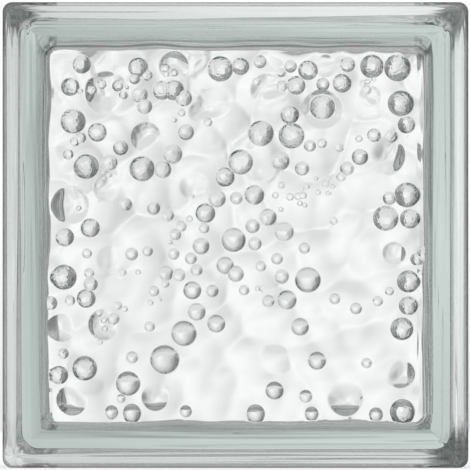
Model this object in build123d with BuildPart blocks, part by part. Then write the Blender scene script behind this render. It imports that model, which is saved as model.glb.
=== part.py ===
from build123d import *
from math import atan2, degrees
import os

# Hollow pressed-glass wall block. Two pressed half shells are fused hot along a seam in the middle of the
# depth, so the block is one piece of glass round a sealed air space. It stands upright: X is the width, Y the
# depth with the front face towards -Y, Z the height, and the origin is at the middle of the underside.
# Lengths are millimetres.

# The block over all
block_width = 190.0
block_height = 190.0
block_depth = 80.0

# Lips: the border of each face that stands out past the mortar recess
lip_depth = 14.5
lip_corner_radius = 4.0
face_edge_radius = 2.0
lip_heel_chamfer = 1.0

# Mortar recess round the four edges, with the fused seam as a low bead along the middle of its floor
recess_depth = 8.0
recess_corner_radius = 7.0
recess_root_radius = 1.5
seam_bead_width = 4.0
seam_bead_height = 1.2
seam_bead_chamfer = 0.6

# Glass round the air space: the sides thicken towards each face for the draft of the pressing, and the corner
# where a face meets the sides is rounded
face_wall = 8.0
side_wall_at_seam = 4.5
rim_at_face = 17.7
cavity_corner_radius = 9.5
cavity_fillet_radius = 1.5

# Bubble relief on the inside of the faces: domes stand into the air space, dimples are pressed into the glass
large_dome_radius = 5.0
medium_dome_radius = 3.8
dimple_radius = 7.2
bubble_rise_share = 0.4

# Places of the larger bubbles on the front view, across and up from the middle, as shares of the half width
# and half height that the air space has at the face
large_dome_shares = [
    (-0.08, 0.87), (0.85, 0.87), (-0.85, 0.59), (0.45, 0.67), (0.865, 0.69), (0.13, 0.53), (0.29, 0.52),
    (-0.78, 0.36), (-0.49, 0.35), (0.03, 0.38), (0.895, 0.21), (0.785, 0.09), (-0.01, -0.03),
    (-0.895, -0.22), (0.38, -0.235), (0.87, -0.49), (-0.27, -0.515), (-0.37, -0.65), (-0.56, -0.78),
    (-0.79, -0.70), (0.87, -0.905),
]
medium_dome_shares = [(-0.51, 0.88), (0.10, 0.21), (-0.10, -0.46)]
dimple_shares = [(-0.86, 0.16), (0.175, 0.75), (0.575, -0.85)]
back_dome_shares = [(-0.79, 0.33), (0.20, 0.88), (0.20, -0.64)]

# Sizes and planes that follow from the ones above
lip_heel_place = block_depth / 2 - lip_depth
core_width = block_width - 2 * recess_depth
core_height = block_height - 2 * recess_depth
seam_rim = recess_depth + side_wall_at_seam
cavity_half_depth = block_depth / 2 - face_wall
cavity_draft = degrees(atan2(rim_at_face - seam_rim, cavity_half_depth))
window_half_width = block_width / 2 - rim_at_face
window_half_height = block_height / 2 - rim_at_face
seam_plane = Plane(origin=(0, 0, block_height / 2), x_dir=(1, 0, 0), z_dir=(0, -1, 0))


def ball_radius(bubble_radius):
    """Radius of the ball whose cap has the bubble's radius at its rim and a share of it as its rise."""
    return bubble_radius * (1 + bubble_rise_share**2) / (2 * bubble_rise_share)


def ball_places(bubble_radius, place_shares, face_place, towards_back):
    """Centres of the balls whose caps lie at the given places, set back from a face or out in front of it."""
    ball_offset = ball_radius(bubble_radius) - bubble_rise_share * bubble_radius
    return [
        (
            across * window_half_width,
            face_place + towards_back * ball_offset,
            block_height / 2 + up * window_half_height,
        )
        for across, up in place_shares
    ]


def flat_faces(block):
    """Faces of the block that lie square to the depth, from front to back."""
    return block.faces().filter_by(Axis.Y).sort_by(Axis.Y)


# The air space: a drafted pocket in each half shell, less the domes of both faces and plus the dimples
with BuildPart() as air_space:
    with BuildSketch(seam_plane):
        RectangleRounded(block_width - 2 * seam_rim, block_height - 2 * seam_rim, cavity_corner_radius)
    extrude(amount=cavity_half_depth)
    pocket_sides = [face for face in air_space.faces() if face not in flat_faces(air_space)]
    draft(pocket_sides, neutral_plane=seam_plane, angle=cavity_draft)
    fillet(flat_faces(air_space)[0].edges(), radius=cavity_fillet_radius)
    mirror(about=seam_plane)

    front_inside = -cavity_half_depth
    for dome_radius, dome_shares in (
        (large_dome_radius, large_dome_shares),
        (medium_dome_radius, medium_dome_shares),
    ):
        with Locations(*ball_places(dome_radius, dome_shares, front_inside, -1)):
            Sphere(ball_radius(dome_radius), mode=Mode.SUBTRACT)
    with Locations(*ball_places(dimple_radius, dimple_shares, front_inside, 1)):
        Sphere(ball_radius(dimple_radius))
    with Locations(*ball_places(large_dome_radius, back_dome_shares, cavity_half_depth, 1)):
        Sphere(ball_radius(large_dome_radius), mode=Mode.SUBTRACT)

# The glass: a core as wide as the recess floor, the two lips, the seam bead, and the air space taken out
with BuildPart() as glass_block:
    with BuildSketch(seam_plane):
        RectangleRounded(core_width, core_height, recess_corner_radius)
    extrude(amount=block_depth / 2, both=True)
    for towards_face in (1, -1):
        with BuildSketch(seam_plane.offset(towards_face * lip_heel_place)):
            RectangleRounded(block_width, block_height, lip_corner_radius)
        extrude(amount=towards_face * lip_depth)

    heels = flat_faces(glass_block)[1:-1]
    fillet([edge for heel in heels for edge in heel.inner_wires()[0].edges()], radius=recess_root_radius)
    heels = flat_faces(glass_block)[1:-1]
    chamfer([edge for heel in heels for edge in heel.outer_wire().edges()], length=lip_heel_chamfer)
    faces = flat_faces(glass_block)
    fillet(faces[0].edges() + faces[-1].edges(), radius=face_edge_radius)

    with BuildSketch(seam_plane):
        RectangleRounded(
            core_width + 2 * seam_bead_height,
            core_height + 2 * seam_bead_height,
            recess_corner_radius + seam_bead_height,
        )
    extrude(amount=seam_bead_width / 2, both=True)
    bead_sides = flat_faces(glass_block)[2:-2]
    chamfer([edge for side in bead_sides for edge in side.outer_wire().edges()], length=seam_bead_chamfer)

    add(air_space.part, mode=Mode.SUBTRACT)

os.makedirs("parts", exist_ok=True)
glass_block.part.label = "glass_block"
export_step(glass_block.part, "parts/glass_block.step")
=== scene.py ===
import bpy
import numpy as np
from mathutils.geometry import delaunay_2d_cdt
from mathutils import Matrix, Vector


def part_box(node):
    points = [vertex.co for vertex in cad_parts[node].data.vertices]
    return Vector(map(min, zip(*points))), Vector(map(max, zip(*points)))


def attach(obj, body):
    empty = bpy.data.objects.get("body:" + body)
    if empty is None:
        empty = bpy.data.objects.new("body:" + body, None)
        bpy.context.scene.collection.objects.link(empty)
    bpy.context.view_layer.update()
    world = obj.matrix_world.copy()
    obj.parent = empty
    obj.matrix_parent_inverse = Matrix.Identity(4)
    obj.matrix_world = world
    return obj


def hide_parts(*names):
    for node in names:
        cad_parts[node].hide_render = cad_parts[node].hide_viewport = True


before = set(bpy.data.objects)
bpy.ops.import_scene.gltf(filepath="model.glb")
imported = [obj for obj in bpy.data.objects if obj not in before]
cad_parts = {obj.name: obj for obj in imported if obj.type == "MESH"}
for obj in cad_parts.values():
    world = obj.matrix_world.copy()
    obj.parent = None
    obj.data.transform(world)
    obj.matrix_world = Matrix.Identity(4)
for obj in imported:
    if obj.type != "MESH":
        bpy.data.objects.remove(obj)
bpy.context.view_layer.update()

# The glass block: a hollow wall block of clear pressed glass, the one piece of the object. Two pressed half
# shells are fused hot along a seam in the middle of the depth, so the skin outside and the skin of the sealed
# air space inside are one closed mesh. Its main sizes follow the solid's, in metres.
block_low, block_high = (np.array(corner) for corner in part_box("glass_block"))
block_size = block_high - block_low
half_width, half_depth, half_height = block_size / 2
middle_height = (block_low[2] + block_high[2]) / 2
lip_depth = 0.014
lip_corner = 0.004
face_edge = 0.002
lip_heel = 0.001
recess_depth = 0.008
recess_corner = 0.007
recess_root = 0.0004
bead_half_width = 0.0026
bead_height = 0.0012
face_wall = 0.008
seam_rim = 0.0125
seam_round = 0.0008
face_rim = 0.0177
seam_corner = 0.0095
fillet = 0.0026
lip_heel_place = half_depth - lip_depth
inner_face = half_depth - face_wall
draft = np.arctan2(face_rim - seam_rim, inner_face)


def ring_signs(side_steps, corner_steps):
    """One turn of a rounded rectangle as unit shares: each point is a corner sign times the straight half
    sides plus the corner radius times a direction. Corners are quarter circles, and the steps along the
    sides are longest half-way."""
    turn = np.radians(90) * (np.arange(4)[:, None] + np.linspace(0, 1, corner_steps + 1))
    arc_way = np.stack([np.cos(turn), np.sin(turn)], 2)
    corner_sign = np.array([(1, 1), (-1, 1), (-1, -1), (1, -1)], float)
    arc_sign = np.repeat(corner_sign[:, None], corner_steps + 1, 1)
    share = 0.5 - 0.5 * np.cos(np.linspace(0, np.pi, side_steps + 1)[1:-1, None])
    side_sign = corner_sign[:, None] * (1 - share) + np.roll(corner_sign, -1, 0)[:, None] * share
    side_way = np.repeat(arc_way[:, -1:], side_steps - 1, 1)
    sign = np.concatenate([arc_sign, side_sign], 1).reshape(-1, 2)
    way = np.concatenate([arc_way, side_way], 1).reshape(-1, 2)
    return sign, way


def carried_round(profile, corners, turn):
    """A profile carried round the block. Each profile row holds outward place, depth place, and the outward
    and depth parts of the normal; each becomes a rounded rectangle moved in from the block's outline, with
    that row's corner radius."""
    sign, way = turn
    outward, depth, out_normal, depth_normal = profile.T
    straight = np.stack([half_width + outward - corners, half_height + outward - corners], 1)
    flat = sign * straight[:, None] + way * corners[:, None, None]
    spots = np.stack([flat[..., 0], np.repeat(depth[:, None], len(way), 1), flat[..., 1]], 2)
    normals = np.stack([
        way[:, 0] * out_normal[:, None],
        np.repeat(depth_normal[:, None], len(way), 1),
        way[:, 1] * out_normal[:, None],
    ], 2)
    return spots, normals


def arc_rows(outward, depth, radius, start, end, steps, facing):
    """Profile rows on an arc round a centre, from one angle to the other in degrees; facing 1 is convex
    glass and -1 is hollow."""
    angle = np.radians(np.linspace(start, end, steps + 1))
    way = np.stack([np.cos(angle), np.sin(angle)], 1)
    return np.hstack([np.array([outward, depth]) + radius * way, facing * way])


def line_rows(start, end, steps):
    """Profile rows spread evenly on a straight line between two rows that share a normal."""
    share = np.linspace(0, 1, steps + 1)[:, None]
    return start * (1 - share) + end * share


def with_back(front):
    """A front profile from face to seam, followed by its mirror image from seam to face."""
    return np.vstack([front, front[-2::-1] * np.array([1, -1, 1, -1])])


def ripples(spots, fade, lengths, steepness, seed):
    """Fine ripples left by the pressing, in lines round the block: sine waves across the second place of each
    spot, one for each length, that drift in phase along the sides."""
    chance = np.random.default_rng(seed)
    around = np.arctan2(spots[..., 2], spots[..., 0])
    rise = np.zeros(spots.shape[:2])
    for length in lengths:
        drift = chance.integers(-2, 3) * around
        drift = drift + np.sin(chance.integers(2, 6) * around + chance.uniform(0, 6.3))
        phase = 2 * np.pi * spots[..., 1] / length + drift + chance.uniform(0, 6.3)
        rise += steepness * length / (2 * np.pi) * np.sin(phase)
    return rise * fade[:, None]


def moved_out(spots, way, rise):
    """Spots moved square to the block's sides by the rise."""
    return spots + np.stack([way[:, 0] * rise, 0 * rise, way[:, 1] * rise], 2)


def grid_normals(spots, plain):
    """Normals of rows of spots that close on themselves: the cross product of the steps along and across the
    rows, on the side that the plain normals face."""
    along = np.roll(spots, -1, 1) - np.roll(spots, 1, 1)
    across = np.gradient(spots, axis=0)
    normals = np.cross(along, across)
    normals /= np.linalg.norm(normals, axis=2, keepdims=True)
    return normals * np.sign((normals * plain).sum(2, keepdims=True))


# Outside skin: flat rim, rounded face edge, lip, heel, hollow root, recess floor and half of the seam bead
bead_steps, root_steps, heel_steps, edge_steps = 8, 8, 6, 8
heel_line_steps, floor_steps = 12, 16
rim_rows = 34
rim_overlap = 0.003
edge_gap = 0.0004
least_corner = 0.0004
hair = 1e-6
bead_place = np.linspace(-bead_half_width, 0, bead_steps + 1)
bead_turn = np.pi * bead_place / bead_half_width
bead_slope = -bead_height / 2 * np.pi / bead_half_width * np.sin(bead_turn)
bead_length = np.hypot(1, bead_slope)
bead_rows = np.stack([
    bead_height / 2 * (1 + np.cos(bead_turn)) - recess_depth,
    bead_place,
    1 / bead_length,
    -bead_slope / bead_length,
], 1)
root_rows = arc_rows(
    recess_root - recess_depth, recess_root - lip_heel_place, recess_root, -90, -180, root_steps, -1
)
heel_rows = arc_rows(-lip_heel, -lip_heel_place - lip_heel, lip_heel, 0, 90, heel_steps, 1)
rim_inner = face_rim + rim_overlap
rim_inset = np.linspace(rim_inner, face_edge + edge_gap, rim_rows)
outer_front = np.vstack([
    np.stack([-rim_inset, np.full(rim_rows, -half_depth), np.zeros(rim_rows), np.full(rim_rows, -1)], 1),
    arc_rows(-face_edge, face_edge - half_depth, face_edge, -90, 0, edge_steps, 1),
    heel_rows,
    line_rows(heel_rows[-1], root_rows[0], heel_line_steps)[1:-1],
    root_rows,
    line_rows(root_rows[-1], np.array([-recess_depth, -bead_half_width, 1, 0]), floor_steps)[1:-1],
    bead_rows,
])
outer_profile = with_back(outer_front)
outer_inset = -outer_profile[:, 0]
outer_place = np.abs(outer_profile[:, 1])
outer_side = np.sign(outer_profile[:, 1])[:, None]
lip_corners = np.maximum(lip_corner - outer_inset, least_corner)
heel_corners = np.interp(outer_inset, [0, recess_depth], [lip_corner, recess_corner])
outer_corners = np.where(outer_place > lip_heel_place + hair, lip_corners, heel_corners)
outer_turn = ring_signs(side_steps=28, corner_steps=12)
outer_spots, outer_normals = carried_round(outer_profile, outer_corners, outer_turn)

# The heel of the lip leans down to the recess, more steeply towards the corners, with pressing lines along it
heel_steepness, corner_steepness = 0.12, 0.25
corner_reach = 0.013
heel_line_lengths = np.array([0.0018, 0.0026, 0.0035])
heel_line_steepness = 0.045
past_edge = np.array([half_width, half_height]) - np.abs(outer_spots[..., [0, 2]])
near_edge, far_edge = past_edge.min(2), past_edge.max(2)
corner_share = np.clip(1 - (far_edge - near_edge) / corner_reach, 0, 1)
steepness = heel_steepness + (corner_steepness - heel_steepness) * corner_share
heel_run = np.clip(near_edge - lip_heel / 2, 0, recess_depth)
heel_share = np.interp(outer_place, [bead_half_width, lip_heel_place, lip_heel_place + lip_heel], [0, 1, 0])
heel_spots = np.stack([outer_spots[..., 0], near_edge, outer_spots[..., 2]], 2)
heel_lines = ripples(heel_spots, heel_share, heel_line_lengths, heel_line_steepness, seed=21)
heel_sink = steepness * heel_run * heel_share[:, None] + heel_lines
outer_spots[..., 1] -= outer_side * heel_sink

# The recess floor has ripples across the depth
floor_ripple_lengths = np.array([0.003, 0.004, 0.0055, 0.007, 0.009])
floor_ripple_steepness = 0.03
floor_ripple_run = 0.003
floor_fade = np.clip((lip_heel_place - recess_root - outer_place) / floor_ripple_run, 0, 1)
floor_ripples = ripples(outer_spots, floor_fade, floor_ripple_lengths, floor_ripple_steepness, seed=5)
outer_spots = moved_out(outer_spots, outer_turn[1], floor_ripples)

# The rim of each face has ripples along the sides and a low crown, whose crest lies further out at the top
rim_ripple_lengths = np.array([0.0026, 0.0034, 0.0046, 0.0065])
rim_ripple_steepness = 0.06
rim_ripple_run = 0.002
rim_least_sink = 0.00012
top_blend = 0.01
side_crest_inset, top_crest_shift = 0.0105, 0.003
rim_crown_half, rim_crown_length = 0.00025, 0.011
rim_crown_start, rim_crown_run = 0.0045, 0.003
on_rim = np.clip(np.minimum(outer_inset - face_edge, rim_inner - outer_inset) / rim_ripple_run, 0, 1)
on_rim = on_rim * (outer_place > half_depth - hair)
rim_spots = np.stack([
    outer_spots[..., 0], np.repeat(outer_inset[:, None], len(outer_turn[1]), 1), outer_spots[..., 2]
], 2)
rim_rise = ripples(rim_spots, on_rim, rim_ripple_lengths, rim_ripple_steepness, seed=11)
at_top = np.clip((outer_spots[..., 2] - np.abs(outer_spots[..., 0])) / top_blend + 0.5, 0, 1)
crest_inset = side_crest_inset - top_crest_shift * at_top
past_crest = 2 * np.pi * (outer_inset[:, None] - crest_inset) / rim_crown_length
crown_span = np.minimum(outer_inset - rim_crown_start, rim_inner - outer_inset)
on_crown = np.clip(crown_span / rim_crown_run, 0, 1) * on_rim
rim_crown = rim_crown_half * (1 - np.cos(past_crest)) * on_crown[:, None]
rim_sink = rim_least_sink * on_rim[:, None] + rim_crown
outer_spots[..., 1] -= outer_side * np.maximum(rim_sink + rim_rise, 0)
outer_normals = grid_normals(outer_spots, outer_normals)
outer_normals[0] = (0, -1, 0)
outer_normals[-1] = (0, 1, 0)

# Painted shade on the heel: a near-black colour, thickest in kites at the corners, stronger at some corners
# than at others, fainter in lines along the sides and weaker towards the top
kite_inset, kite_half_width, kite_reach = 0.0046, 0.0046, 0.0105
kite_edge_share = 0.22
# How strong the painted shade is at each corner
top_right_painted_shade, top_left_painted_shade, bottom_right_painted_shade, bottom_left_painted_shade = 0.97, 1.02, 1.3, 0.3
heel_painted_shade_insets = [0.0022, 0.0034, 0.0045, 0.0068]
heel_painted_shade_shares = [0.2, 0, 0.2, 0.32]
top_painted_shade_loss = 0.75
recess_matt_share = 0.1
kite = np.abs(near_edge - kite_inset) / kite_half_width + (far_edge - near_edge) / kite_reach
at_right, is_upper = outer_spots[..., 0] > 0, outer_spots[..., 2] > 0
top_painted_shade_strengths = np.where(at_right, top_right_painted_shade, top_left_painted_shade)
bottom_painted_shade_strengths = np.where(at_right, bottom_right_painted_shade, bottom_left_painted_shade)
corner_painted_shade_strengths = np.where(is_upper, top_painted_shade_strengths, bottom_painted_shade_strengths)
corner_painted_shade = np.clip((corner_painted_shade_strengths - kite) / kite_edge_share, 0, 1) * np.minimum(corner_painted_shade_strengths, 1)
heel_painted_shade = np.interp(near_edge, heel_painted_shade_insets, heel_painted_shade_shares) * (1 - top_painted_shade_loss * at_top)
outer_painted_shade = np.maximum(corner_painted_shade, heel_painted_shade) * heel_share[:, None]
recess_matt = np.interp(
    outer_place, [lip_heel_place + lip_heel, half_depth - face_edge], [recess_matt_share, 0]
)
outer_matt = np.maximum(recess_matt[:, None], corner_painted_shade * heel_share[:, None])

# Skin of the air space: the rounding from each face into the drafted sides, and the sides as far as the seam,
# where a hyperbola rounds the ridge between the two drafts
sheet_edge_angle = -45
fillet_steps, wall_steps = 6, 27
fillet_out = -face_rim + (fillet - fillet * np.sin(draft)) * np.tan(draft) - fillet * np.cos(draft)
fillet_depth = fillet - inner_face
fillet_rows = arc_rows(
    fillet_out, fillet_depth, fillet, sheet_edge_angle, -np.degrees(draft), fillet_steps, -1
)
wall_place = np.linspace(fillet_rows[-1, 1], 0, wall_steps + 1)[1:]
wall_rise = -seam_rim - fillet_rows[-1, 0]
wall_lean = np.sqrt((wall_rise + seam_round)**2 - seam_round**2) * wall_place / fillet_rows[-1, 1]
wall_out = seam_round - seam_rim - np.hypot(seam_round, wall_lean)
wall_rows = np.stack([wall_out, wall_place, np.full(wall_steps, -1), np.zeros(wall_steps)], 1)
inner_profile = with_back(np.vstack([fillet_rows, wall_rows]))
inner_corners = seam_corner + inner_profile[:, 0] + seam_rim
inner_place = np.abs(inner_profile[:, 1])
inner_side = np.sign(inner_profile[:, 1])
inner_turn = ring_signs(side_steps=60, corner_steps=8)
inner_spots, inner_normals = carried_round(inner_profile, inner_corners, inner_turn)
edge_wander = 0.0022
edge_counts = np.array([9, 14, 19, 27])
edge_phases = np.random.default_rng(8).uniform(0, 2 * np.pi, len(edge_counts))


def edge_wave(spots):
    """How far the edge of the air space wanders outwards round the face: a sum of waves along the four
    sides."""
    around = np.arctan2(spots[..., 1], spots[..., 0])
    return edge_wander * (np.sin(edge_counts * around[..., None] + edge_phases) / edge_counts).sum(-1)


# The sides have ripples across the depth, calmer towards the corners
wall_ripple_lengths = np.array([0.0025, 0.0035, 0.0045, 0.006, 0.008, 0.011])
wall_ripple_steepness = 0.045
wall_ripple_gap, wall_ripple_run = 0.002, 0.004
calm_places, calm_shares = [0.05, 0.068], [1, 0.15]
wall_matt_share = 0.25
wall_fade = np.clip((inner_face - wall_ripple_gap - inner_place) / wall_ripple_run, 0, 1)
wall_ripples = ripples(inner_spots, wall_fade, wall_ripple_lengths, wall_ripple_steepness, seed=9)
wall_ripples *= np.interp(np.abs(inner_spots[..., [0, 2]]).min(2), calm_places, calm_shares)
wall_wander = edge_wave(inner_spots[..., [0, 2]]) * (inner_place / inner_face)[:, None]
inner_spots = moved_out(inner_spots, inner_turn[1], wall_ripples + wall_wander)
inner_normals = grid_normals(inner_spots, inner_normals)

# Bubbles as read on the photograph's 470 by 470 frame: across, down and radius in pixels. Domes stand into
# the air space. Pits, dimples and dishes are pressed into the glass at a slant, from deep to shallow, bowls
# are pressed in evenly, and hollows are broad and faint.
frame_pixels = 470
pixel = block_size[0] / 466
middle_pixel = np.array([235.5, 234.8])
front_dome_pixels = np.array([
    (81.5, 64, 9), (70, 86.5, 9), (138, 67, 9.7), (134.5, 78.5, 5.5), (147, 75, 5.5), (139.5, 94.5, 8),
    (162, 90, 9.5), (173.5, 90, 10), (183.3, 97.5, 8.5), (220, 68.5, 12.6), (240.5, 66, 8.5),
    (260, 61.5, 6.5), (281.5, 72.5, 4.4), (290.5, 66, 6.3), (308, 70, 9.7), (347.5, 64.3, 7.5),
    (342, 83, 9.3), (323, 84, 6.5), (296, 85, 9.3), (282.3, 85.5, 5.5), (256.3, 81, 3.8), (372, 66, 11.5),
    (397.5, 67.5, 13.2), (366.5, 89.5, 5), (363, 83, 3.5), (368, 81, 3), (374, 79, 2.5), (102, 84, 4.3),
    (92, 89.5, 4.2), (118, 85.5, 5.3), (123.5, 95, 4.2), (80, 91, 3), (127, 87, 2), (165, 68, 4),
    (174.5, 73, 3.5), (166, 74, 3), (72.8, 121, 12.3), (97, 132, 9.3), (80.5, 137.5, 5.5),
    (74.5, 141.5, 4.8), (144.3, 106, 7.7), (181.5, 112.5, 4), (174, 119.7, 3), (207.8, 122, 4.4),
    (185.8, 132, 8), (289.7, 114.5, 9.2), (322.5, 107, 12.4), (260.8, 133, 12.6), (291.5, 135.5, 12.7),
    (284.5, 127.5, 2), (401, 103, 12.7), (406.5, 124.5, 8.5), (374, 135, 6.8), (359, 138.5, 3.7),
    (391.5, 136, 6.3), (120.5, 147.5, 7.5), (310, 145.5, 6), (339.3, 147.5, 4.5), (322, 143, 5),
    (172.5, 154, 9.5), (68, 154, 5.3), (86, 166.3, 12.3), (109.5, 162.3, 7.8), (142, 168.5, 12.4),
    (162.5, 169.3, 8.6), (240.4, 161.8, 12.4), (224.8, 176.7, 9.6), (280.4, 160.8, 9), (302, 168.3, 7.1),
    (360, 156.7, 8), (347, 168.3, 6.9), (341, 176.5, 5), (325.5, 183, 4.3), (254.3, 194.7, 9.7),
    (217, 198.3, 8.6), (236.3, 198, 6.3), (389.6, 198, 6.7), (407.1, 194.7, 12.3), (192, 196, 2.5),
    (104, 172, 2.5), (109.5, 175, 2), (104.5, 178, 2), (100, 200, 2), (125.6, 204.3, 6.3),
    (90, 227.8, 9.4), (64.5, 237, 9.2), (153.5, 208.2, 6.4), (167.5, 215, 6.4), (205.3, 213, 9.7),
    (189.5, 218.5, 3.5), (181.3, 226, 5.4), (175.3, 234.3, 5.8), (170, 241.8, 2.5), (204, 228, 5.3),
    (268, 217, 8.4), (284, 231.5, 9.6), (252.5, 226, 7), (333.8, 220.7, 4.1), (385.7, 218, 12.5),
    (410, 218.5, 9.7), (233.3, 239.7, 12), (200.8, 246, 8.3), (131.5, 254, 6.4), (190.8, 258.3, 5.9),
    (147.5, 251, 5.3), (173.5, 253.7, 5.8), (86.8, 253.3, 5), (304.4, 248, 5.7), (277, 258.6, 5.8),
    (254.8, 243.5, 6.8), (79, 208, 2.5), (63.6, 277, 12.4), (86, 298.3, 9.3), (69.8, 300.5, 5.3),
    (90.5, 284, 7), (89, 273, 5), (225, 265.2, 8.6), (178.7, 275, 6.6), (165.7, 273, 7.5),
    (196.5, 270, 6), (192.2, 290.2, 8.9), (212.2, 290.8, 6.2), (153.7, 291, 5.4), (165, 283.5, 4.3),
    (150.5, 302.5, 3), (160, 299.3, 2), (196.5, 311.7, 8.8), (235.7, 273.7, 8), (244, 290, 5.2),
    (257.5, 288.5, 2.7), (268.3, 301, 6.2), (260.7, 266.2, 5.3), (281.6, 276.5, 7.2),
    (307.8, 279.7, 12.6), (286.9, 299.7, 9.5), (334.8, 298.7, 5.5), (356, 308.3, 5.9), (377.8, 301, 5.2),
    (389.5, 291, 4.5), (408.3, 281.3, 11), (408.5, 305.5, 9.3), (417, 259, 6.3), (123, 272, 3.5),
    (138, 272, 3), (118, 305.5, 4), (125, 309, 3), (113.5, 318.5, 5.8), (50, 303, 7), (424.5, 255, 8),
    (216.2, 323.5, 8.9), (183.7, 333.3, 12.5), (164.4, 359.5, 14.3), (149.5, 326.5, 5.3), (132, 357.3, 6),
    (127.8, 383.5, 12), (121, 398.5, 4.5), (84.5, 368.3, 12.2), (58.7, 375, 9.2), (63.2, 353.5, 5.3),
    (111.3, 412, 6.7), (131.7, 413, 9), (185.7, 411.3, 6), (300, 326.7, 8.7), (317, 360.6, 8.9),
    (274.5, 390.5, 8.9), (305.7, 396.3, 6.5), (255.6, 413.7, 9.1), (311.6, 413.5, 6.8), (376, 414.3, 6.9),
    (402.4, 411.6, 12.2), (402, 328.7, 11.2), (366.7, 363, 5.2), (99, 313, 3), (104, 320, 3),
    (105, 328.5, 3), (100, 342, 3), (302, 188.5, 2.5), (307, 186, 3), (290, 196.5, 4), (298, 196, 4),
    (303, 195, 4), (300, 203, 3), (305, 205, 2.5), (281.5, 185, 3.5), (275.5, 195, 3.5), (281, 209, 2.7),
    (316, 178, 2.5), (328, 178, 3), (333, 186, 2.5), (318, 192, 3), (328, 193, 2.5),
])
front_pit_pixels = np.array([
    (174, 66, 14.5), (104, 324.5, 15.5), (155.3, 397, 13.5), (146, 137, 15), (72.3, 399.5, 15.2),
    (62, 327.5, 14),
])
front_dimple_pixels = np.array([
    (107, 93, 22), (345.4, 397.5, 17.7), (400.2, 373.8, 14.3),
])
front_bowl_pixels = np.array([
    (70.5, 204.5, 18.7), (322.5, 108.5, 19.7), (394.2, 253, 11.5),
])
front_dish_pixels = np.array([
    (198.5, 112, 10), (269, 91, 18.5), (370, 96, 11), (108, 187.5, 15), (385.5, 156, 19.5),
])
front_hollow_pixels = np.array([
    (325, 66, 11.7), (193.8, 185.5, 14.5), (109, 259, 13), (208, 72, 16), (215, 100, 18),
])
back_dome_pixels = np.array([
    (99, 64, 5), (274.5, 64.5, 9.5), (187, 66, 5), (376, 110, 9), (153.5, 120, 6.5), (217, 162, 5.5),
    (262.8, 165.3, 7), (276, 173.5, 5.5), (259.5, 184, 6), (275, 359, 15.5), (84, 172, 20), (82, 378, 17),
])
dome_rises = np.interp(front_dome_pixels[:, 2], [4, 10], [0.3, 0.42])
pit_rise = -0.36
dimple_rise = -0.28
bowl_rise = -0.25
dish_rise = -0.22
hollow_rise = -0.12
back_rise = 0.12
shallow_rise = 0.2


def in_metres(pixels, rise, slanted=0):
    """Bubble rows in metres from the middle of the face: across, up, radius, the rise as a share of the
    radius, and 1 where the bubble is pressed in at a slant."""
    across = (pixels[:, 0] - middle_pixel[0]) * pixel
    up = (middle_pixel[1] - pixels[:, 1]) * pixel
    count = len(pixels)
    return np.stack([across, up, pixels[:, 2] * pixel, np.full(count, rise), np.full(count, slanted)], 1)


# Soft swells of the pressed faces, livelier towards the top, on a low crown
swell_count = 26
swell_chance = np.random.default_rng(3)
swell_ways = swell_chance.uniform(0, 2 * np.pi, swell_count)
swell_lengths = swell_chance.uniform(0.008, 0.026, swell_count)
swell_phases = swell_chance.uniform(0, 2 * np.pi, swell_count)
swell_steepness = 0.028
swell_heights, swell_shares = [-0.05, 0.06], [0.6, 1.45]
crown_height, crown_power = 0.0012, 6
corner_pivot = np.array([half_width - seam_rim - seam_corner, half_height - seam_rim - seam_corner])


def swell(spots):
    """Soft swells of the pressed faces: a sum of plane waves with chance ways, lengths and phases, on a low
    crown that leaves the glass thinner towards the sides."""
    run = spots[..., :1] * np.cos(swell_ways) + spots[..., 1:] * np.sin(swell_ways)
    waves = swell_lengths * np.sin(2 * np.pi * run / swell_lengths + swell_phases)
    crown = ((spots / corner_pivot)**crown_power).sum(-1) * crown_height
    livelier = np.interp(spots[..., 1], swell_heights, swell_shares)
    return waves.sum(-1) * livelier * swell_steepness / (2 * np.pi) - crown


flat_reach = half_width + fillet_out - corner_pivot[0]
fillet_limit_share, ball_limit_share = 0.98, 0.99
rim_softness_share = 0.03
slant_share = 1.3


def relief(spots, bubbles):
    """How far the glass stands into the air space at each spot: the rounding towards the sides, less the
    deepest dimple there, or the highest dome where that is more, with the shallow bubbles and the swells over
    it all. A bubble is a cap of a ball that runs softly into the face at its rim, and a slanted one also runs
    out softly on the side away from the nearest side of the face."""
    past = np.hypot(*np.maximum(np.abs(spots) - corner_pivot, 0).T) - flat_reach - edge_wave(spots)
    height = fillet - np.sqrt(fillet**2 - np.clip(past, 0, fillet * fillet_limit_share)**2)
    across, up, radius, rise, slanted = bubbles.T
    tall = np.abs(rise) * radius
    ball = (radius**2 + tall**2) / (2 * tall)
    away = np.hypot(spots[:, :1] - across, spots[:, 1:] - up)
    cap = np.sqrt(np.maximum(ball**2 - np.minimum(away, ball_limit_share * ball)**2, 0)) - ball + tall
    soft = rim_softness_share * radius
    cap = np.where(cap < soft, np.maximum(cap + soft, 0)**2 / (4 * soft), cap)
    side_way = bubbles[:, :2]**3 / np.linalg.norm(bubbles[:, :2]**3, axis=1, keepdims=True)
    lean = (spots[:, :1] - across) * side_way[:, 0] + (spots[:, 1:] - up) * side_way[:, 1]
    slant_run = np.clip((lean / radius + 1) / slant_share, 0, 1)
    cap = np.where(slanted > 0, cap * slant_run**2 * (3 - 2 * slant_run), cap)
    shallow = np.abs(rise) < shallow_rise
    pressed = np.where((rise < 0) & ~shallow, cap, 0).max(1, initial=0)
    stood = np.where((rise > 0) & ~shallow, cap, 0).max(1, initial=0)
    height = np.where(pressed > 0, np.minimum(height, -pressed), height)
    height = np.where(stood > 0, np.maximum(height, stood), height)
    return height + np.where(shallow, np.sign(rise) * cap, 0).sum(1) + swell(spots)


ring_shares = np.array([0.35, 0.65, 0.87, 0.98, 1.08])
ring_spacing = 0.0006
ring_least, ring_most = 12, 56
grid_spacing, grid_margin = 0.002, 0.001
ring_margin = 0.0003
spot_spacing = 0.00012
slope_step = 0.00001
in_millimetres = 1000
texture_edge_share = 0.15
texture_top_height = 0.06
texture_side_place, texture_side_run = 0.045, 0.02
texture_middle_share, texture_least_share = 0.25, 0.2


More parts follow.
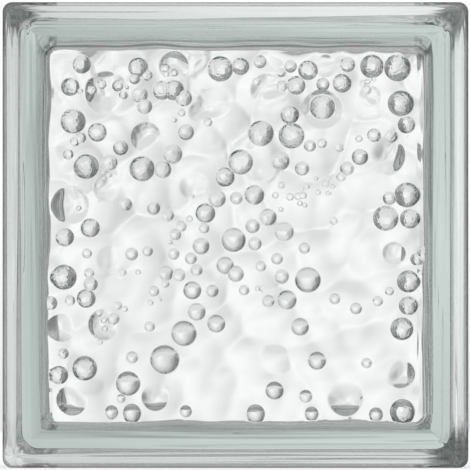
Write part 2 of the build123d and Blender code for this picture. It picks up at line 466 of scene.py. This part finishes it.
def bubble_sheet(ring, bubbles, facing):
    """The inside of a face within a ring of points. Spots lie on rings round every bubble and on an even
    grid, join up by Delaunay triangles, and stand out of the face by the relief; slopes of the relief give
    the normals. The last array is a mask of the domes, stronger towards the top and the sides."""
    rings = []
    for across, up, radius in bubbles[:, :3]:
        count = int(np.clip(2 * np.pi * radius / ring_spacing, ring_least, ring_most))
        turn = np.arange(count) * 2 * np.pi / count
        around = np.stack([np.cos(turn), np.sin(turn)], 1)
        circles = (ring_shares[:, None, None] * around).reshape(-1, 2)
        rings.append(np.vstack([[0, 0], circles]) * radius + (across, up))
    reach = np.array([half_width, half_height]) - face_rim - grid_margin
    grid = np.stack(np.meshgrid(*(np.arange(-r, r, grid_spacing) for r in reach)), 2).reshape(-1, 2)
    spots = np.vstack(rings + [grid])
    pivot_past = np.hypot(*np.maximum(np.abs(spots) - corner_pivot, 0).T)
    ring_past = np.hypot(*np.maximum(np.abs(ring[:1]) - corner_pivot, 0).T)[0]
    spots = spots[pivot_past < ring_past - ring_margin]
    spots = spots[np.sort(np.unique(np.round(spots / spot_spacing), axis=0, return_index=True)[1])]
    spots = np.vstack([ring, spots])
    flat, _, triangles, _, _, _ = delaunay_2d_cdt(
        [tuple(spot) for spot in spots * in_millimetres], [], [tuple(range(len(ring)))], 1, hair
    )
    flat = np.array([tuple(spot) for spot in flat]) / in_millimetres
    triangles = np.array([tuple(triangle) for triangle in triangles])
    height = relief(flat, bubbles)
    slope = [
        (relief(flat + way, bubbles) - relief(flat - way, bubbles)) / (2 * slope_step)
        for way in (np.array([slope_step, 0]), np.array([0, slope_step]))
    ]
    length = np.sqrt(1 + slope[0]**2 + slope[1]**2)
    normals = np.stack([-slope[0] / length, facing / length, -slope[1] / length], 1)
    domes = bubbles[bubbles[:, 3] > shallow_rise]
    inside = 1 - np.hypot(flat[:, :1] - domes[:, 0], flat[:, 1:] - domes[:, 1]) / domes[:, 2]
    textured = np.clip(inside.max(1, initial=0) / texture_edge_share, 0, 1)
    side_part = (np.abs(flat[:, 0]) - texture_side_place) / texture_side_run
    outer_part = np.maximum(flat[:, 1] / texture_top_height, side_part)
    texture_share = texture_middle_share + (1 - texture_middle_share) * outer_part
    textured *= np.clip(texture_share, texture_least_share, 1)
    return np.stack([flat[:, 0], facing * (height - inner_face), flat[:, 1]], 1), normals, triangles, textured


swell_gap, swell_run = 0.006, 0.004
swell_share = np.clip((inner_place - inner_face + swell_gap) / swell_run, 0, 1) * -inner_side
inner_spots[..., 1] += swell_share[:, None] * swell(inner_spots[..., [0, 2]])
front_bubbles = np.vstack([
    in_metres(front_dome_pixels, dome_rises),
    in_metres(front_pit_pixels, pit_rise, 1),
    in_metres(front_dimple_pixels, dimple_rise, 1),
    in_metres(front_bowl_pixels, bowl_rise),
    in_metres(front_dish_pixels, dish_rise, 1),
    in_metres(front_hollow_pixels, hollow_rise),
])
back_bubbles = in_metres(back_dome_pixels, back_rise)
front_sheet = bubble_sheet(inner_spots[0][:, [0, 2]], front_bubbles, 1)
back_sheet = bubble_sheet(inner_spots[-1][:, [0, 2]], back_bubbles, -1)


def band_faces(rows, columns, first, outwards):
    """Four-sided faces between neighbouring closed rows of points, wound one way or the other."""
    index = first + np.arange(rows * columns).reshape(rows, columns)
    ahead = np.roll(index, -1, 1)
    corners = [index[:-1], ahead[:-1], ahead[1:], index[1:]]
    return np.stack(corners if outwards else corners[::-1], 2).reshape(-1, 4)


# One mesh of both skins: the bands, the two bubble sheets, which share their rims with the bands, and the two
# flat windows of the outside
outer_rows, outer_columns = outer_spots.shape[:2]
inner_rows, inner_columns = inner_spots.shape[:2]
inner_first = outer_rows * outer_columns
front_first = inner_first + inner_rows * inner_columns
back_first = front_first + len(front_sheet[0])
sheet_spots = len(front_sheet[0]) + len(back_sheet[0])
spots = np.vstack([outer_spots.reshape(-1, 3), inner_spots.reshape(-1, 3), front_sheet[0], back_sheet[0]])
normals = np.vstack([
    outer_normals.reshape(-1, 3), inner_normals.reshape(-1, 3), front_sheet[1], back_sheet[1]
])
merge = np.arange(len(spots))
merge[front_first:front_first + inner_columns] = inner_first + np.arange(inner_columns)
merge[back_first:back_first + inner_columns] = front_first - inner_columns + np.arange(inner_columns)
face_groups = [
    band_faces(outer_rows, outer_columns, 0, False).tolist(),
    band_faces(inner_rows, inner_columns, inner_first, True).tolist(),
    merge[front_sheet[2][:, ::-1] + front_first].tolist(),
    merge[back_sheet[2] + back_first].tolist(),
    [list(range(outer_columns)), list(range(inner_first - outer_columns, inner_first))[::-1]],
]
faces = [face for group in face_groups for face in group]
spots[:, 2] += middle_height
used = np.unique(np.concatenate([np.array(face) for face in faces]))
renumber = np.full(len(spots), -1)
renumber[used] = np.arange(len(used))
block_mesh = bpy.data.meshes.new("glass_block_skin")
block_mesh.from_pydata(spots[used].tolist(), [], [renumber[face].tolist() for face in faces])
block_mesh.shade_smooth()
wall_matt = np.repeat(wall_matt_share * wall_fade, inner_columns)
# Masks on the points: matt roughness, the painted shade on the heel, and where the domes are textured
masks = {
    "matt": np.concatenate([outer_matt.ravel(), wall_matt, np.zeros(sheet_spots)]),
    "painted_shade_mask": np.concatenate([outer_painted_shade.ravel(), np.zeros(len(spots) - outer_painted_shade.size)]),
    "beads": np.concatenate([np.zeros(front_first), front_sheet[3], back_sheet[3]]),
}
for name, mask in masks.items():
    attribute = block_mesh.attributes.new(name, "FLOAT", "POINT")
    attribute.data.foreach_set("value", mask[used].astype(np.float32))
block_mesh.normals_split_custom_set_from_vertices(normals[used].tolist())
glass_block = bpy.data.objects.new("glass_block_skin", block_mesh)
bpy.context.scene.collection.objects.link(glass_block)

# Its glass: clear soda-lime with a faint green tint in the thick parts, a matt skin on the sides, speckled
# painted shade on the heel and a fine pressing texture on the domes
glass_ior = 1.52
matt_roughness = 0.5
# The painted shade on the heel: its near-black colour and the speckle that breaks it up
painted_shade_colour = (0.03, 0.04, 0.037, 1)
painted_shade_speckle_scale, painted_shade_speckle_span, painted_shade_speckle_least = 900, (0.3, 0.7), 0.75
texture_scale, texture_rise = 750, 0.00026
tint_colour, tint_density = (0.32, 0.45, 0.41, 1), 11
clear_glass = bpy.data.materials.new("clear_glass")
clear_glass.use_nodes = True
nodes, links = clear_glass.node_tree.nodes, clear_glass.node_tree.links
shader = nodes["Principled BSDF"]
shader.inputs["Base Color"].default_value = (1, 1, 1, 1)
shader.inputs["Roughness"].default_value = 0
shader.inputs["IOR"].default_value = glass_ior
shader.inputs["Transmission Weight"].default_value = 1
place = nodes.new("ShaderNodeTexCoord")


def mask_of(name):
    """The value that the mesh holds at each point under the given name; gives its output socket."""
    node = nodes.new("ShaderNodeAttribute")
    node.attribute_name = name
    return node.outputs["Fac"]


def noise_of(scale, detail):
    """Noise on the block's own coordinates; gives its output socket."""
    node = nodes.new("ShaderNodeTexNoise")
    node.inputs["Scale"].default_value = scale
    node.inputs["Detail"].default_value = detail
    links.new(place.outputs["Object"], node.inputs["Vector"])
    return node.outputs["Fac"]


def math_node(operation, first, second=0.0):
    """A math node fed by sockets or numbers; gives its output socket."""
    node = nodes.new("ShaderNodeMath")
    node.operation = operation
    for socket, value in zip(node.inputs, (first, second)):
        if isinstance(value, (int, float)):
            socket.default_value = value
        else:
            links.new(value, socket)
    return node.outputs[0]


def even_range(value, low, high, start, end):
    """An even change from start to end as the value goes from low to high; gives its output socket."""
    node = nodes.new("ShaderNodeMapRange")
    for name, number in (("From Min", low), ("From Max", high), ("To Min", start), ("To Max", end)):
        node.inputs[name].default_value = number
    links.new(value, node.inputs["Value"])
    return node.outputs["Result"]


links.new(even_range(mask_of("matt"), 0, 1, 0, matt_roughness), shader.inputs["Roughness"])
painted_shade_speckle = even_range(noise_of(painted_shade_speckle_scale, detail=2), *painted_shade_speckle_span, painted_shade_speckle_least, 1)
# The base colour: white glass, darkened to the painted shade where the heel mask says
glass_and_painted_shade_colour = nodes.new("ShaderNodeMix")
glass_and_painted_shade_colour.data_type = "RGBA"
glass_and_painted_shade_colour.inputs["A"].default_value = (1, 1, 1, 1)
glass_and_painted_shade_colour.inputs["B"].default_value = painted_shade_colour
links.new(math_node("MULTIPLY", mask_of("painted_shade_mask"), painted_shade_speckle), glass_and_painted_shade_colour.inputs["Factor"])
links.new(glass_and_painted_shade_colour.outputs["Result"], shader.inputs["Base Color"])
texture = even_range(noise_of(texture_scale, detail=1), 0, 1, -0.5, 0.5)
pressing = nodes.new("ShaderNodeBump")
pressing.inputs["Distance"].default_value = texture_rise
links.new(math_node("MULTIPLY", mask_of("beads"), texture), pressing.inputs["Height"])
links.new(pressing.outputs["Normal"], shader.inputs["Normal"])
tint = nodes.new("ShaderNodeVolumeAbsorption")
tint.inputs["Color"].default_value = tint_colour
tint.inputs["Density"].default_value = tint_density
links.new(tint.outputs["Volume"], nodes["Material Output"].inputs["Volume"])
block_mesh.materials.append(clear_glass)
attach(glass_block, "root")
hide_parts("glass_block")

# The room: soft studio light that depends on the direction seen from the block. It is brightest straight
# behind the block, falls away to the sides and overhead, has a soft glow at either side, is shaded straight
# down, and is even behind the camera. The world and the floor share it as one node group.
behind_strength = 1.17
near_place, near_share = 0.38, 0.28
far_place, far_share = 0.9, 0.03
right_shift, right_reach = 0.05, 0.65
up_reach = 0.54
floor_widening = 1.5
down_end, down_least = 0.12, 0.74
shade_low, shade_high, shade_least = -0.85, -0.35, 0.5
side_low, side_high, side_strength = 0.93, 0.99, 0.5
front_full, front_end, front_strength = -0.8, 0.1, 0.5
room_light = bpy.data.node_groups.new("room_light", "ShaderNodeTree")
room_light.interface.new_socket("Way", in_out="INPUT", socket_type="NodeSocketVector")
room_light.interface.new_socket("Strength", in_out="OUTPUT", socket_type="NodeSocketFloat")
nodes, links = room_light.nodes, room_light.links
way_in = nodes.new("NodeGroupInput")
strength_out = nodes.new("NodeGroupOutput")
unit = nodes.new("ShaderNodeVectorMath")
unit.operation = "NORMALIZE"
links.new(way_in.outputs["Way"], unit.inputs[0])
parts = nodes.new("ShaderNodeSeparateXYZ")
links.new(unit.outputs["Vector"], parts.inputs["Vector"])
along_x, along_y, along_z = (parts.outputs[axis] for axis in "XYZ")
rightwards = math_node("SUBTRACT", along_x, right_shift)
right_part = math_node("MULTIPLY", rightwards, right_reach)
left_part = math_node("MULTIPLY", rightwards, -1.0)
sideways = math_node("MAXIMUM", right_part, left_part)
above = math_node("MAXIMUM", math_node("MULTIPLY", along_z, up_reach), 0.0)
below = math_node("MAXIMUM", math_node("MULTIPLY", along_z, -floor_widening), 0.0)
aside = math_node("MAXIMUM", math_node("SUBTRACT", sideways, below), 0.0)
squares = math_node("ADD", math_node("POWER", aside, 2.0), math_node("POWER", above, 2.0))
falling = nodes.new("ShaderNodeValToRGB")
falling.color_ramp.elements[0].color = (1, 1, 1, 1)
falling.color_ramp.elements[1].position = far_place
falling.color_ramp.elements[1].color = (far_share, far_share, far_share, 1)
falling.color_ramp.elements.new(near_place).color = (near_share, near_share, near_share, 1)
links.new(math_node("SQRT", squares), falling.inputs["Fac"])
down_share = even_range(along_z, -down_end, 0, down_least, 1)
shaded = even_range(along_z, shade_low, shade_high, shade_least, 1)
glow_share = math_node("MULTIPLY", math_node("MULTIPLY", falling.outputs["Color"], down_share), shaded)
side_glow = even_range(math_node("ABSOLUTE", along_x), side_low, side_high, 0, side_strength)
glow = math_node("ADD", math_node("MULTIPLY", glow_share, behind_strength), side_glow)
front_share = even_range(along_y, front_full, front_end, 1, 0)
front_part = math_node("MULTIPLY", math_node("SUBTRACT", front_strength, glow), front_share)
links.new(math_node("ADD", glow, front_part), strength_out.inputs["Strength"])

world = bpy.data.worlds.new("room")
bpy.context.scene.world = world
world.use_nodes = True
nodes, links = world.node_tree.nodes, world.node_tree.links
room = nodes["Background"]
room.inputs["Color"].default_value = (1, 1, 1, 1)
place = nodes.new("ShaderNodeTexCoord")
light = nodes.new("ShaderNodeGroup")
light.node_tree = room_light
links.new(place.outputs["Generated"], light.inputs["Way"])
path = nodes.new("ShaderNodeLightPath")
white_or_room = nodes.new("ShaderNodeMix")
white_or_room.inputs["B"].default_value = 1
links.new(path.outputs["Is Camera Ray"], white_or_room.inputs["Factor"])
links.new(light.outputs["Strength"], white_or_room.inputs["A"])
links.new(white_or_room.outputs["Result"], room.inputs["Strength"])

# The floor: a sheet of pale paper that bends up behind the block as a backdrop. It is white to the camera,
# with a soft shade close to the block, as bright as the room to the glass, and open from behind.
floor_front, floor_back, floor_half_width, backdrop_height = -0.35, 1.3, 2, 1.6
paper_colour, paper_roughness = (0.85, 0.85, 0.85, 1), 0.9
shade_reach, shade_strength = 0.12, 0.62
floor_mesh = bpy.data.meshes.new("floor")
floor_mesh.from_pydata([
    (-floor_half_width, floor_front, 0),
    (floor_half_width, floor_front, 0),
    (floor_half_width, floor_back, 0),
    (-floor_half_width, floor_back, 0),
    (floor_half_width, floor_back, backdrop_height),
    (-floor_half_width, floor_back, backdrop_height),
], [], [(0, 1, 2, 3), (3, 2, 4, 5)])
floor = bpy.data.objects.new("floor", floor_mesh)
bpy.context.scene.collection.objects.link(floor)
paper = bpy.data.materials.new("pale_paper")
paper.use_nodes = True
nodes, links = paper.node_tree.nodes, paper.node_tree.links
shader = nodes["Principled BSDF"]
shader.inputs["Base Color"].default_value = paper_colour
shader.inputs["Roughness"].default_value = paper_roughness
path = nodes.new("ShaderNodeLightPath")
place = nodes.new("ShaderNodeTexCoord")
from_block = nodes.new("ShaderNodeVectorMath")
from_block.operation = "SUBTRACT"
from_block.inputs[1].default_value = (0, 0, middle_height)
links.new(place.outputs["Object"], from_block.inputs[0])
light = nodes.new("ShaderNodeGroup")
light.node_tree = room_light
links.new(from_block.outputs["Vector"], light.inputs["Way"])
to_glass = nodes.new("ShaderNodeEmission")
links.new(light.outputs["Strength"], to_glass.inputs["Strength"])
shade = nodes.new("ShaderNodeAmbientOcclusion")
shade.inputs["Distance"].default_value = shade_reach
to_camera = nodes.new("ShaderNodeEmission")
links.new(even_range(shade.outputs["AO"], 0, 1, shade_strength, 1), to_camera.inputs["Strength"])


def either_shader(factor, first, second):
    """The first shader where the factor is 0 and the second where it is 1; gives its output socket."""
    node = nodes.new("ShaderNodeMixShader")
    for socket, source in zip(node.inputs, (factor, first, second)):
        links.new(source, socket)
    return node.outputs["Shader"]


through = math_node("MAXIMUM", path.outputs["Is Glossy Ray"], path.outputs["Is Transmission Ray"])
lit = either_shader(through, shader.outputs["BSDF"], to_glass.outputs["Emission"])
seen = either_shader(path.outputs["Is Camera Ray"], lit, to_camera.outputs["Emission"])
facing_away = nodes.new("ShaderNodeNewGeometry").outputs["Backfacing"]
clear = nodes.new("ShaderNodeBsdfTransparent").outputs["BSDF"]
links.new(either_shader(facing_away, seen, clear), nodes["Material Output"].inputs["Surface"])
floor_mesh.materials.append(paper)

# The camera stands square in front of the block, at the photograph's framing, and so far away that the sides
# of the block don't show. Light may cross the many faces of the glass before it reaches the camera.
camera_distance = 7.0
sensor_width = 36
glass_crossings, glass_reflections = 40, 24
camera_data = bpy.data.cameras.new("camera")
camera_data.sensor_width = sensor_width
camera_data.lens = sensor_width * camera_distance / (frame_pixels * pixel)
camera = bpy.data.objects.new("camera", camera_data)
camera.location = (-0.5 * pixel, -half_depth - camera_distance, middle_height)
camera.rotation_euler = (np.radians(90), 0, 0)
scene = bpy.context.scene
scene.collection.objects.link(camera)
scene.camera = camera
scene.view_settings.view_transform = "Standard"
scene.cycles.max_bounces = glass_crossings
scene.cycles.transmission_bounces = glass_crossings
scene.cycles.glossy_bounces = glass_reflections
